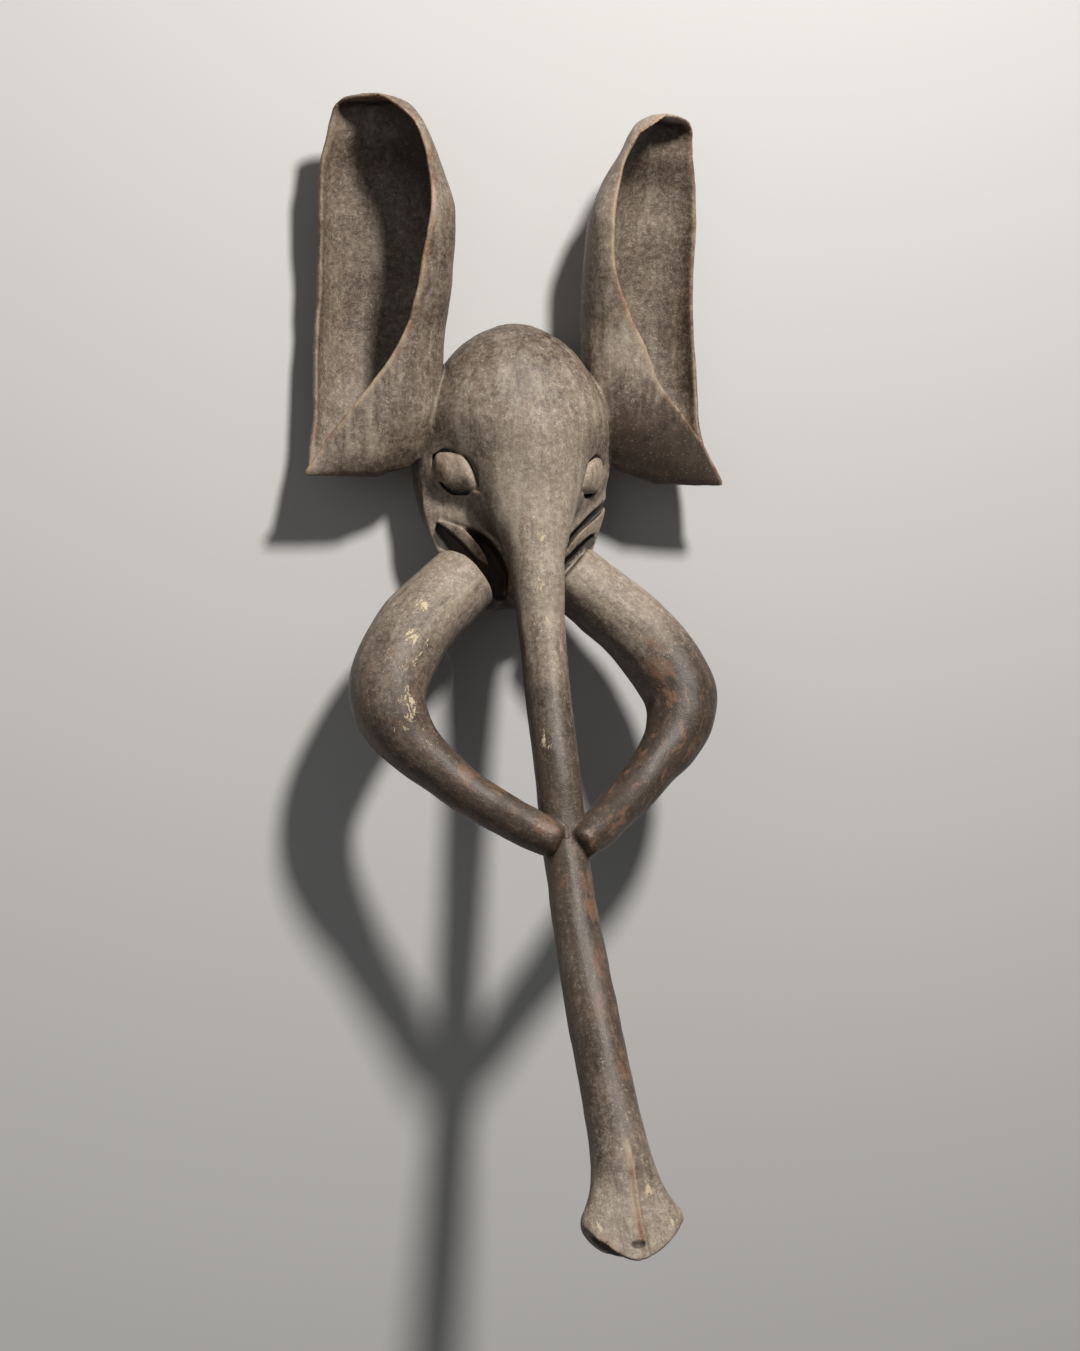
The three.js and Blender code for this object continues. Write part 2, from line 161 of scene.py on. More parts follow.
EAR_BACK = levels([
    (196, 4), (203, 12), (226, 30), (272, 46), (317, 53), (423, 58), (492, 57), (541, 53), (586, 44),
    (609, 33), (620, 22), (626, 0)])
OPENING_TURN = 25
EAR_OPENING = levels([
    (198, 197), (283, 143), (330, 110), (382, 81), (440, 61), (500, 51), (550, 55), (588, 70), (608, 92),
    (619, 110), (626, 124)])
# The ears differ too: how much less than that each front wall stands, first the +X ear
OPENING_MORE = (
    levels([(240, 0), (275, 13), (303, 21), (330, 16), (361, 12.5), (402, 15), (450, 16), (495, 14),
            (519, 11.5), (553, 8), (577, 7), (605, 8), (626, 6)]),
    levels([(230, 0), (262, 4), (292, 9), (327, 10), (350, 8), (407, 0), (450, -3.5), (560, -3.5),
            (600, -2)]),
)
OPENING_LEVEL = levels([
    (180, 182), (197, 178), (226, 162), (283, 150), (387, 144), (510, 151), (560, 154), (596, 158),
    (612, 165), (626, 178)])
# The front wall's edge is cut slanting, so that it shows from the front: where it starts, and its slope
EDGE_START = levels([
    (330, 148), (450, 153), (495, 158), (519, 159), (553, 160), (577, 164), (593, 169), (605, 175),
    (613, 179), (626, 184)])
EDGE_SLOPE = levels([(300, 0), (440, 1.25), (580, 1.25), (600, 0.6), (620, 0.2)])
EDGE_DEPTH = 11

# The two sides of the face were carved by eye and differ a little: first the +X side
EYES = (
    dict(y=200, angle=26, slope=36, half_length=32, half_width=24),
    dict(y=201.5, angle=23.3, slope=41, half_length=35, half_width=23.5),
)
LID_OUTER_SHAPE = 0.62
LID_INNER_SHAPE = 1.15
LID_DEPTH = 7
BALL = dict(bulge=12.5, sunk=4.5, gap=3.2, end_gap=2)
LIPS = (
    dict(
        line=[(107, 152, 70), (94, 145, 79), (80.5, 137.5, 85), (70, 128.5, 87), (61, 118, 86),
              (52, 107, 83)],
        half_width=[9, 7, 5.4, 5.2, 4.4, 1.5], depth=[-1, 0.3, 2, 3, 3, 2]),
    dict(
        line=[(97, 148, 78), (88, 144, 83), (77, 137, 86), (67, 129, 88), (56, 118, 88), (47, 108, 86),
              (38, 99, 85)],
        half_width=[1, 3, 4.6, 5.2, 5.2, 4, 0.8], depth=[1, 2, 3, 3, 3, 3, 2]),
)
GROOVES = (
    dict(
        line=[(112, 175, 71), (100, 164, 80), (89, 155, 86), (79, 145.5, 89), (69, 135.5, 91),
              (61, 125.5, 90), (55, 116, 88), (48, 105, 85)],
        half_width=[4, 5, 6, 6.5, 6.5, 6, 5.5, 5], depth=[3, 6, 9, 12, 13, 13, 12, 10]),
    dict(
        line=[(92, 152, 84), (80, 146, 90), (70, 142, 93), (61, 136, 95), (51, 128, 96), (41, 117, 94),
              (32.5, 103, 89), (25, 88, 83), (20, 70, 77)],
        half_width=[1.5, 2, 3, 4.5, 6.5, 8, 10, 12, 14], depth=[1, 1.5, 2.5, 5, 9, 12, 14, 15, 15]),
)
DENTS = (
    dict(line=[(99, 178, 80), (82, 165, 93), (66, 152, 100)], depth=2.5, reach=12),
    dict(line=[(96, 172, 86), (78, 162, 96), (56, 148, 104)], depth=4, reach=15),
)
MOUTHS = (
    dict(
        line=[(97, 133, 74), (88, 126, 77), (77, 117, 79), (64, 105, 79), (48, 90, 80)],
        half_width=[5, 8.5, 10, 10, 8], depth=[5, 7, 10, 13, 13]),
    dict(
        line=[(100, 134, 72), (80, 124, 80), (64, 111, 83), (49, 98, 82), (34, 83, 80)],
        half_width=[12, 11, 11, 12, 10], depth=[10, 11, 14, 17, 15]),
)
MOUTH_BACK = FACE_HEIGHT + 2
LIP_THICKNESS = 22
HOLE_ROUNDING = 2
LIMB_FILLET = 3
HOLLOW_ROUNDING = 3
EAR_FILLET = 5
EAR_RIM_ROUNDING = 4.5
# Fields aren't followed further than this from a surface
FAR = 60.0


def smoothstep(x, low, high):
    t = np.clip((x - low) / (high - low), 0, 1)
    return t * t * (3 - 2 * t)


def join(a, b, radius):
    """Union of two fields, filleted."""
    near = np.maximum(radius - np.abs(a - b), 0) / radius
    return np.minimum(a, b) - near * near * radius * 0.25


def cut(a, b, radius):
    """Field a with field b cut out of it, its new edges rounded."""
    return -join(-a, b, radius)


def metric(field, step=0.4):
    """A field divided by its slope, so that it is close to a distance near its surface."""

    def distance(x, y, z):
        f = field(x, y, z)
        gx = field(x + step, y, z) - f
        gy = field(x, y + step, z) - f
        gz = field(x, y, z + step) - f
        slope = np.sqrt(gx * gx + gy * gy + gz * gz) / step
        return f / np.maximum(slope, 0.2)

    return distance


def snout_reach(y, cos, sin):
    fade = smoothstep(y, SNOUT_END_Y - SNOUT_FADE, SNOUT_END_Y)
    half_width = np.maximum(SNOUT_HALF_WIDTH(y) * 0.97 * fade, 1e-3)
    half_depth = np.maximum(SNOUT_HALF_DEPTH(y) * 0.97 * fade, 1e-3)
    forward = SNOUT_FORWARD(y) * fade
    a = (cos / half_width) ** 2 + (sin / half_depth) ** 2
    b = -2 * sin * forward / half_depth ** 2
    c = (forward / half_depth) ** 2 - 1
    inside = b * b - 4 * a * c
    reach = np.where(inside > 0, (-b + np.sqrt(np.maximum(inside, 0))) / (2 * a), 0)
    return np.where(fade < 0.01, 0, reach)


def head_field(size, with_snout):
    def field(x, y, z):
        up = y > WIDEST_Y
        forward = z - FACE_HEIGHT
        r = np.sqrt(x * x + forward * forward) + 1e-6
        cos, sin = x / r, forward / r
        above, below = (y - WIDEST_Y) / (size["crown"] - WIDEST_Y), (WIDEST_Y - y) / (WIDEST_Y - size["chin"])
        rise = np.clip(np.where(up, above, below), 0, 1)
        taper = np.where(up, 2, JAW_TAPER)
        girth = np.maximum(1 - rise ** taper, 0) ** (1 / taper)
        half_width = np.maximum(size["half_width"] * girth, 1e-3)
        jaw = np.maximum(1 - rise ** 1.3, 0) ** 1.5
        front = np.maximum(size["front"] * np.where(up, girth, jaw), 1e-3)
        back = np.maximum(size["back"] * np.where(up, girth, 1), 1e-3)
        face = smoothstep(y, WIDEST_Y - 8, WIDEST_Y + 76)
        ahead = sin > 0
        behind = smoothstep(y, JAW_BACK[0], JAW_BACK[1])
        behind = JAW_BACK_FULLNESS + (BACK_FULLNESS - JAW_BACK_FULLNESS) * behind
        fullness = np.where(ahead, CHEEK_FULLNESS + (DOME_FULLNESS - CHEEK_FULLNESS) * face, behind)
        depth = np.where(ahead, front, back)
        across = (np.abs(cos) / half_width) ** fullness
        reach = (across + (np.abs(sin) / depth) ** fullness) ** (-1 / fullness)
        if with_snout:
            snout = snout_reach(y, cos, sin)
            near = np.maximum(FILLET - np.abs(reach - snout), 0) / FILLET
            reach = np.maximum(reach, snout) + near * near * FILLET * 0.25
        return np.maximum(r - reach, np.maximum(y - size["crown"], size["chin"] - y))

    return field


def catmull_rom(points, samples):
    """Points and share along a centripetal Catmull-Rom curve through the given points."""
    p = np.array(points, float)
    p = np.vstack([2 * p[0] - p[1], p, 2 * p[-1] - p[-2]])
    share = np.linspace(0, 1, samples)
    place = share * (len(points) - 1)
    i = np.minimum(place.astype(int), len(points) - 2)
    t = (place - i)[:, None]
    p0, p1, p2, p3 = p[i], p[i + 1], p[i + 2], p[i + 3]
    d0, d1, d2 = (np.sqrt(np.linalg.norm(b - a, axis=1))[:, None] for a, b in ((p0, p1), (p1, p2), (p2, p3)))
    t1 = ((p1 - p0) / d0 - (p2 - p0) / (d0 + d1) + (p2 - p1) / d1) * d1
    t2 = ((p2 - p1) / d1 - (p3 - p1) / (d1 + d2) + (p3 - p2) / d2) * d1
    c2 = -3 * p1 + 3 * p2 - 2 * t1 - t2
    c3 = 2 * p1 - 2 * p2 + t1 + t2
    return p1 + t1 * t + c2 * t * t + c3 * t ** 3, share


class Limb:
    """A tapering limb round a curve: where a point lies along it, across it and in front of it."""

    def __init__(self, line, samples=160):
        self.points, self.share = catmull_rom(line, samples)
        tangent = np.gradient(self.points, axis=0)
        self.length = np.concatenate([[0], np.cumsum(np.linalg.norm(np.diff(self.points, axis=0), axis=1))])
        self.tangent = tangent / np.linalg.norm(tangent, axis=1)[:, None]
        side = np.cross(self.tangent, (0, 0, 1))
        self.side = side / np.linalg.norm(side, axis=1)[:, None]
        self.front = np.cross(self.side, self.tangent)

    def locate(self, x, y, z):
        p = np.stack([x, y, z], axis=1)
        nearest = np.empty(len(p), int)
        c = self.points
        cc = (c * c).sum(1)
        for start in range(0, len(p), 40000):
            q = p[start:start + 40000]
            nearest[start:start + 40000] = np.argmin(cc - 2 * q @ c.T, axis=1)
        offset = p - c[nearest]
        ahead = (offset * self.tangent[nearest]).sum(1)
        step = np.where(ahead > 0, 1, -1)
        other = np.clip(nearest + step, 0, len(c) - 1)
        span = np.abs(self.length[other] - self.length[nearest])
        t = np.where(span > 0, np.minimum(np.abs(ahead) / np.maximum(span, 1e-6), 1), 0)

        def mix(values):
            a, b = values[nearest], values[other]
            w = t if values.ndim == 1 else t[:, None]
            return a + (b - a) * w

        offset = p - mix(c)
        along = mix(self.length) + np.where(span > 0, 0, ahead)
        return mix(self.share), along, (offset * mix(self.side)).sum(1), (offset * mix(self.front)).sum(1)


def oval(across, ahead, half_width, half_depth):
    """Distance from an oval section, close to its outline."""
    a = across / half_width
    b = ahead / half_depth
    k = np.sqrt(a * a + b * b) + 1e-9
    slope = np.sqrt((a / half_width) ** 2 + (b / half_depth) ** 2) / k
    return (k - 1) / np.maximum(slope, 1e-6)


def knots(values):
    """Smooth value at a share of the way along evenly spaced values."""
    return levels([(i / (len(values) - 1), v) for i, v in enumerate(values)])


def near_box(x, y, z, low, high, margin):
    return ((x > low[0] - margin) & (x < high[0] + margin) & (y > low[1] - margin) & (y < high[1] + margin)
            & (z > low[2] - margin) & (z < high[2] + margin))


def within(field, low, high, margin=FAR):
    """A field that is only worked out near its own box, and is far elsewhere."""

    def distance(x, y, z):
        d = np.full(x.shape, FAR)
        m = near_box(x, y, z, low, high, margin)
        if m.any():
            d[m] = np.clip(field(x[m], y[m], z[m]), -FAR, FAR)
        return d

    return distance


TRUNK = Limb([(0, y, z) for y, z in TRUNK_LINE], 220)
TUSK = Limb(TUSK_LINE, 200)


def trunk_field(x, y, z):
    share, along, across, ahead = TRUNK.locate(x, y, z)
    height = np.interp(along, TRUNK.length, TRUNK.points[:, 1])
    half_width = TRUNK_HALF_WIDTH(height)
    left = TRUNK.length[-1] - along
    flat = TIP_FLAT * (1 - smoothstep(left, 0, TIP_FLAT_LENGTH)) * (ahead > 0)
    half_depth = TRUNK_HALF_DEPTH(height) - flat
    ridge = TIP_RIDGE["height"] * np.exp(-((across / TIP_RIDGE["half_width"]) ** 2)) * (ahead > 0)
    ridge = ridge * (1 - smoothstep(left, 20, TIP_RIDGE["length"]))
    side = oval(across, ahead - ridge * np.clip(ahead / half_depth, 0, 1), half_width, half_depth)
    # the two slanting end faces, blunter on one side, that lean so that the front reaches furthest
    aside = across - TIP_ASIDE
    spread = np.clip(np.abs(aside) / (half_width - TIP_ASIDE * np.sign(aside)), 0, 1)
    blunt, loss = (np.where(aside > 0, pair[1], pair[0]) for pair in (TIP_BLUNTNESS, TIP_LEAN_LOSS))
    lean = TIP_LEAN * (1 - loss * spread) * np.clip(ahead, -half_depth, half_depth)
    end = -left - TIP_POINT * (1 - spread ** blunt) - lean
    slope = TIP_POINT * blunt * spread ** (blunt - 1) / half_width
    end = end / np.sqrt(1 + slope * slope + TIP_LEAN ** 2)
    return cut(np.maximum(side, -along), -end, TIP_ROUNDING)


def tusk_field(girth, trim, longer):
    radius = knots(TUSK_RADIUS)

    def field(x, y, z):
        share, along, across, ahead = TUSK.locate(x, y, z)
        r = radius(share) * (girth + (1 - girth) * np.clip(2 * share, 0, 1))
        side = np.hypot(across, ahead) - r
        left = TUSK.length[-1] + longer - along
        return cut(cut(side, left, TUSK_TIP_ROUNDING), along - trim, TUSK_ROOT_ROUNDING)

    return field


def eye_frame(eye):
    angle = math.radians(eye["angle"])
    field = head_field(HEAD, True)

    def skin(y, a):
        low, high = 0.0, 250.0
        for _ in range(50):
            r = (low + high) / 2
            at = r * math.cos(a), y, FACE_HEIGHT + r * math.sin(a)
            f = field(*(np.array([part]) for part in at))[0]
            low, high = (r, high) if f < 0 else (low, r)
        return np.array([low * math.cos(a), y, FACE_HEIGHT + low * math.sin(a)])

    centre = skin(eye["y"], angle)
    down = skin(eye["y"] - 12, angle) - skin(eye["y"] + 12, angle)
    down /= np.linalg.norm(down)
    inwards = skin(eye["y"], angle + 0.15) - skin(eye["y"], angle - 0.15)
    outward = np.cross(inwards, down)
    outward /= np.linalg.norm(outward)
    level = np.cross(down, outward)
    slope = math.radians(eye["slope"])
    length = level * math.cos(slope) + down * math.sin(slope)
    return centre, length, np.cross(outward, length)


def almond(centre, axes, half_length, half_width, half_height):
    """Pointed at both ends of its length."""
    length, across, outward = axes

    def field(x, y, z):
        dx, dy, dz = x - centre[0], y - centre[1], z - centre[2]
        a = (dx * length[0] + dy * length[1] + dz * length[2]) / half_length
        b = (dx * across[0] + dy * across[1] + dz * across[2]) / half_width
        c = (dx * outward[0] + dy * outward[1] + dz * outward[2]) / half_height
        return np.sqrt(b * b + c * c + 1e-6) - (1 - a * a)

    return metric(field, 0.3)


def box_of(points, margin):
    p = np.array(points, float)
    return p.min(0) - margin, p.max(0) + margin


def ear_pod(inset):
    """One ear before it is opened, or its room, whose lower edge rises towards the head."""
    bottom = EAR_BOTTOM + inset * 1.6
    top = EAR_TOP - inset

    def field(x, y, z):
        h = y
        for _ in range(4):
            low = 1 - smoothstep(h, EAR_BOTTOM, EAR_BOTTOM + KEEL_HEIGHT)
            h = y - low * KEEL_RISE * np.maximum(KEEL_EDGE - x, 0)
        turn = np.radians(EAR_TURN(h))
        dx, dz = x - EAR_ASIDE(h), z - EAR_FORWARD(h)
        u = dx * np.cos(turn) - dz * np.sin(turn)
        w = dx * np.sin(turn) + dz * np.cos(turn)
        half_width = np.maximum(EAR_HALF_WIDTH(h) - inset * np.where(u > 0, OUTER_WALL, 1), 1)
        half_depth = np.maximum(np.where(w > 0, EAR_FRONT(h), EAR_BACK(h)) - inset, 1)
        a, b = u / half_width, w / half_depth
        k = np.sqrt(a * a + b * b)
        f = (k - 1) * np.minimum(half_width, half_depth)
        return np.maximum(f, np.maximum(bottom - h, h - top) * 0.5)

    return metric(field)


def ear_cuts(x, y, z):
    """Both negative where the ear is opened: from its far side and from its front wall."""
    turn = math.radians(OPENING_TURN)
    u = np.abs(x) * math.cos(turn) - z * math.sin(turn)
    n = np.abs(x) * math.sin(turn) + z * math.cos(turn)
    more = np.where(x > 0, OPENING_MORE[0](y), OPENING_MORE[1](y))
    slant = EDGE_SLOPE(y) * np.clip(EDGE_START(y) - n, 0, EDGE_DEPTH)
    return OPENING_LEVEL(y) - n, EAR_OPENING(y) - more + slant - u


EAR_OUT = ear_pod(0)
EAR_IN = ear_pod(EAR_WALL)


def ear(x, y, z):
    d = np.full(x.shape, FAR)
    m = near_box(np.abs(x), y, z, (85, 190, 0), (256, 628, 160), 20)
    x, y, z = x[m], y[m], z[m]
    shell = cut(EAR_OUT(np.abs(x), y, z), EAR_IN(np.abs(x), y, z), 1)
    d[m] = np.clip(cut(shell, np.maximum(*ear_cuts(x, y, z)), EAR_RIM_ROUNDING), -FAR, FAR)
    return d


head = within(metric(head_field(HEAD, True)), (-117, 40, -40), (117, 376, 170), 30)
hollow = within(metric(head_field(HOLLOW, False)), (-102, 86, -40), (102, 361, 140), 30)
trunk = within(trunk_field, (-60, -640, 90), (60, 130, 485), 25)
tusks = [within(tusk_field(*ends), (0, -235, 40), (225, 135, 280), 25) for ends in TUSK_ENDS]
head_near = metric(head_field(HEAD, True))


def lid_width(a):
    """Half width of the eye's outline, rounder towards its outer end, pointed at its inner one."""
    shape = np.where(a < 0, LID_OUTER_SHAPE, LID_INNER_SHAPE)
    return np.maximum(1 - a * a, 0) ** shape - np.maximum(np.abs(a) - 1, 0)


def eye_fields(eye):
    """The eye's outline on the skin and its ball."""
    centre, *axes = eye_frame(eye)

    def place(x, y, z):
        dx, dy, dz = x - centre[0], y - centre[1], z - centre[2]
        return [dx * a[0] + dy * a[1] + dz * a[2] for a in axes]

    def outline(x, y, z):
        along, across = place(x, y, z)
        return np.abs(across) / eye["half_width"] - lid_width(along / eye["half_length"])

    def ball(x, y, z):
        along, across = place(x, y, z)
        out = (head_near(x, y, z) + BALL["sunk"]) / BALL["bulge"]
        across = across / (eye["half_width"] - BALL["gap"])
        along = along / (eye["half_length"] - BALL["end_gap"])
        return np.sqrt(across * across + out * out + 1e-4) - lid_width(along)

    return (within(metric(outline, 0.3), *box_of([centre], 46), 0),
            within(metric(ball, 0.3), *box_of([centre], 42), 0))


def leaf(line, half_width, depth=(1, 1)):
    """Outline of a leaf along a line, seen from in front, with the depth of its carving."""
    limb = Limb(line, 60)
    width, sunk = knots(half_width), knots(depth)
    low, high = box_of(line, 34)

    def field(x, y, z):
        out = np.full(x.shape, FAR, float)
        deep = np.ones(x.shape)
        m = near_box(x, y, z, low, high, 0)
        share, along, across, _ = limb.locate(x[m], y[m], z[m])
        past = np.maximum(-along, along - limb.length[-1])
        out[m] = np.maximum(np.abs(across) - width(share), past)
        deep[m] = sunk(share)
        return out, deep

    return field


def trough(line, half_width, depth):
    """A rounded trough along a line of the skin, by how far a point is above the skin."""
    limb = Limb(line, 60)
    width, sunk = knots(half_width), knots(depth)
    low, high = box_of(line, 34)

    def field(x, y, z, skin):
        out = np.full(x.shape, FAR, float)
        m = near_box(x, y, z, low, high, 0)
        share, along, across, _ = limb.locate(x[m], y[m], z[m])
        past = np.maximum(np.maximum(-along, along - limb.length[-1]), 0)
        w, d = width(share), sunk(share)
        k = np.hypot(np.hypot(across, past) / w, np.minimum(skin[m], 0) / d)
        out[m] = (k - 1) * np.minimum(w, d)
        return out

    return field


def dent(line, depth, reach):
    limb = Limb(line, 40)

    def field(x, y, z):
        _, _, across, ahead = limb.locate(x, y, z)
        return depth * np.exp(-(across ** 2 + ahead ** 2) / reach ** 2)

    return field


END_Y, END_Z = TRUNK_LINE[-1]
PREV_Y, PREV_Z = TRUNK_LINE[-2]


def nostril_field(blunt, aside):
    tangent = np.array([0, END_Y - PREV_Y, END_Z - PREV_Z], float)
    tangent /= np.linalg.norm(tangent)
    half_width = float(TRUNK_HALF_WIDTH(END_Y))

    def on_edge(spread):
        start = np.array([aside + (half_width - aside) * spread, END_Y, END_Z])
        return start + tangent * TIP_POINT * (1 - spread ** blunt)

    corner, middle, point = on_edge(1), on_edge(0.52), on_edge(0.1)
    length = corner - point
    length /= np.linalg.norm(length)
    outward = np.cross(length, (0, 0, 1))
    outward /= np.linalg.norm(outward)
    front = np.cross(outward, length)
    middle = middle + front * NOSTRIL["forward"]
    size = NOSTRIL["length"], NOSTRIL["width"], NOSTRIL["depth"]
    return within(almond(middle, (length, front, outward), *size), *box_of([middle], 32), 8)


nostrils = [nostril_field(TIP_BLUNTNESS[0], -TIP_ASIDE), nostril_field(TIP_BLUNTNESS[1], TIP_ASIDE)]


def tip_holes(x, y, z):
    """The two nostrils and the small pit between them."""
    ax = np.abs(x)
    centre, half = TIP_PIT
    pit = np.sqrt(sum(((p - c) / h) ** 2 for p, c, h in zip((x, y, z), centre, half))) - 1
    return np.minimum(np.where(x > 0, nostrils[0](ax, y, z), nostrils[1](ax, y, z)), pit * min(half))


def face_side(side):
    """The head with one side's eye, lip, groove and mouth."""
    lid, ball = eye_fields(EYES[side])
    lip, mouth = leaf(**LIPS[side]), leaf(**MOUTHS[side])
    groove, hollowed = trough(**GROOVES[side]), dent(**DENTS[side])

    def field(x, y, z, skin):
        f = skin + hollowed(x, y, z)
        f = cut(f, np.maximum(lid(x, y, z), -skin - LID_DEPTH), 1.2)
        f = join(f, ball(x, y, z), 0.6)
        f = cut(f, groove(x, y, z, skin), 2)
        outline, depth = mouth(x, y, z)
        f = cut(f, np.maximum(np.maximum(outline, -skin - depth), MOUTH_BACK - z), 2)
        outline, rise = lip(x, y, z)
        return join(f, np.maximum(outline, np.maximum(skin - rise, -skin - LIP_THICKNESS)), 1.5)

    def marks(x, y, z, skin):
        """How deep in a carved line or under a lip a point is, from 0 to 1, for the painted shade there, and
        whether it's on the eye.
        """
        on_ball = (ball(x, y, z) < 0.6) & (lid(x, y, z) < 0.5)
        sunk = smoothstep(-skin - hollowed(x, y, z), 0.9, 3) * ~on_ball
        below = smoothstep(-mouth(x, y, z)[0], -1, 1.5) * smoothstep(-skin, -1, 0.5)
        return np.maximum(sunk, below) * smoothstep(lip(x, y, z)[0], -0.8, 0.6), on_ball

    return field, marks


face_sides = [face_side(0), face_side(1)]


def face_field(x, y, z):
    skin = np.maximum(head(np.abs(x), y, z), CHIN_Y + CHIN_CUT - y)
    d = skin.copy()
    for side, sign in ((0, 1), (1, -1)):
        m = near_box(sign * x, y, z, (12, 50, 30), (127, 250, 155), 0)
        if m.any():
            d[m] = face_sides[side][0](sign * x[m], y[m], z[m], skin[m])
    return d


def mask_field(x, y, z):
    """Distance from the mask's surface, negative in the wood."""
    ax = np.abs(x)
    d = face_field(x, y, z)
    d = join(d, cut(trunk(x, y, z), tip_holes(x, y, z), HOLE_ROUNDING), LIMB_FILLET)
    inner = hollow(x, y, z)
    d = np.minimum(d, np.maximum(inner - LEAST_WALL, head(ax, y, z) + 1))
    d = join(cut(d, inner, HOLLOW_ROUNDING), ear(x, y, z), EAR_FILLET)
    first = np.where(x > 0, tusks[0](ax, y, z), FAR)
    second = np.where(x < 0, tusks[1](ax, y, z), FAR)
    d = join(d, np.minimum(first, second), LIMB_FILLET)
    return np.maximum(d, -z)


def spaced(stops, start, end):
    """Positions from start to end, spaced as (place, spacing) stops say, in a multiple of eight steps."""
    places, sizes = np.array(stops, float).T
    fine = np.linspace(start, end, 4001)
    rate = 1 / np.interp(fine, places, sizes)
    total = np.concatenate([[0], np.cumsum((rate[1:] + rate[:-1]) / 2 * np.diff(fine))])
    steps = int(math.ceil(total[-1] / 8)) * 8
    return np.interp(np.linspace(0, total[-1], steps + 1), total, fine)


def between(values, axis):
    """Twice as many nodes along an axis, the new ones halfway."""
    shape = list(values.shape)
    shape[axis] = shape[axis] * 2 - 1
    out = np.empty(shape, np.float32)
    every = [slice(None)] * 3
    old, new, first, last = list(every), list(every), list(every), list(every)
    old[axis], new[axis] = slice(0, None, 2), slice(1, None, 2)
    first[axis], last[axis] = slice(0, -1), slice(1, None)
    out[tuple(old)] = values
    out[tuple(new)] = (values[tuple(first)] + values[tuple(last)]) / 2
    return out


def sampled(field, axes):
    """The field at the nodes of a grid, exact near its surface and roughly right elsewhere."""
    values = None
    for stride in (8, 4, 2, 1):
        nodes = [axis[::stride] for axis in axes]
        if values is None:
            values = np.zeros([len(n) for n in nodes], np.float32)
            near = np.ones(values.shape, bool)
        else:
            for axis in range(3):
                values = between(values, axis)
            a, b, c = np.meshgrid(*(1.4 * np.gradient(n) for n in nodes), indexing="ij", sparse=True)
            size = np.sqrt(a ** 2 + b ** 2 + c ** 2)
            near = np.abs(values) < size.astype(np.float32) * (1.3 if stride > 1 else 1.0)
        index = np.nonzero(near)
        for start in range(0, len(index[0]), 400000):
            i, j, k = (part[start:start + 400000] for part in index)
            values[i, j, k] = field(nodes[0][i], nodes[1][j], nodes[2][k])
    return values


def surface_nets(field, axes):
    """Vertices and quads where the field is zero."""
    grid = sampled(field, axes)
    cells = np.array(grid.shape) - 1
    neg = grid < 0
    count = np.zeros(cells, np.uint8)
    for i in (0, 1):
        for j in (0, 1):
            for k in (0, 1):
                count += neg[i:cells[0] + i, j:cells[1] + j, k:cells[2] + k]
    mixed = (count > 0) & (count < 8)
    cell = np.argwhere(mixed)
    number = np.full(cells, -1, np.int32)
    number[mixed] = np.arange(len(cell))
    corners = np.array([(i, j, k) for i in (0, 1) for j in (0, 1) for k in (0, 1)])
    values = np.stack([grid[cell[:, 0] + i, cell[:, 1] + j, cell[:, 2] + k] for i, j, k in corners], 1)
    total = np.zeros((len(cell), 3))
    hits = np.zeros(len(cell))
    for a in range(8):
        for b in range(a + 1, 8):
            if np.abs(corners[a] - corners[b]).sum() != 1:
                continue
            va, vb = values[:, a], values[:, b]
            m = (va < 0) != (vb < 0)
            t = np.where(m, va / np.where(m, va - vb, 1), 0)
            point = corners[a] + (corners[b] - corners[a]) * t[:, None]
            total += point * m[:, None]
            hits += m
    place = cell + total / hits[:, None]
    vertices = np.stack([np.interp(place[:, a], np.arange(len(axes[a])), axes[a]) for a in range(3)], 1)
    quads = []
    for axis in range(3):
        here = [slice(1, cells[a]) if a != axis else slice(0, cells[a]) for a in range(3)]
        ahead = [slice(1, cells[a]) if a != axis else slice(1, cells[a] + 1) for a in range(3)]
        a, b = neg[tuple(here)], neg[tuple(ahead)]
        edge = np.argwhere(a != b)
        sign = a[edge[:, 0], edge[:, 1], edge[:, 2]]
        edge = edge + np.array([0 if c == axis else 1 for c in range(3)])
        du, dv = (np.eye(3, dtype=int)[c] for c in range(3) if c != axis)

        def at(e):
            return number[e[:, 0], e[:, 1], e[:, 2]]

        quad = np.stack([at(edge - du - dv), at(edge - dv), at(edge), at(edge - du)], 1)
        turned = sign if axis == 1 else ~sign
        quad[turned] = quad[turned][:, ::-1]
        quads.append(quad)
    return vertices, np.concatenate(quads)


# Where the surface is dusty, stained or flaked: by height on the head and trunk, by share along each tusk. The
# dust levels also hold painted light and shade: higher on lit parts such as the snout, lower on shaded ones such
# as the lower trunk, the +X tusk and the +X ear's lower wall
HEAD_DUST_AND_LIGHT = levels([(40, 0.3), (90, 0.9), (150, 1.15), (200, 1.05), (240, 0.8), (300, 0.6), (376, 0.38)])
TRUNK_DUST_AND_LIGHT = levels([
    (-640, 0.95), (-580, 0.9), (-520, 0.55), (-400, 0.28), (-180, 0.2), (-80, 0.35), (20, 0.75), (90, 0.95)])
TUSK_DUST_AND_LIGHT = (
    levels([(0, 0.95), (0.14, 0.85), (0.26, 0.6), (0.36, 0.2), (0.7, 0.08), (1, 0.2)]),
    levels([(0, 0.95), (0.14, 0.8), (0.3, 0.55), (0.5, 0.35), (0.7, 0.15), (1, 0.2)]))
EAR_DUST = 0.55
FIRST_EAR_DUST_AND_LIGHT = levels([(230, 0.05), (285, 0.3), (345, 0.95), (600, 1.1)])
# The dust's direction is the key light's: surfaces facing it get more pale dust, which also paints light on them
# and shade on the others
DUST_AND_LIGHT_FROM = np.array([0.12, 0.7, 0.7])
LEAST_DUST_AND_LIGHT = 0.15
RIM_WIDTH = 11
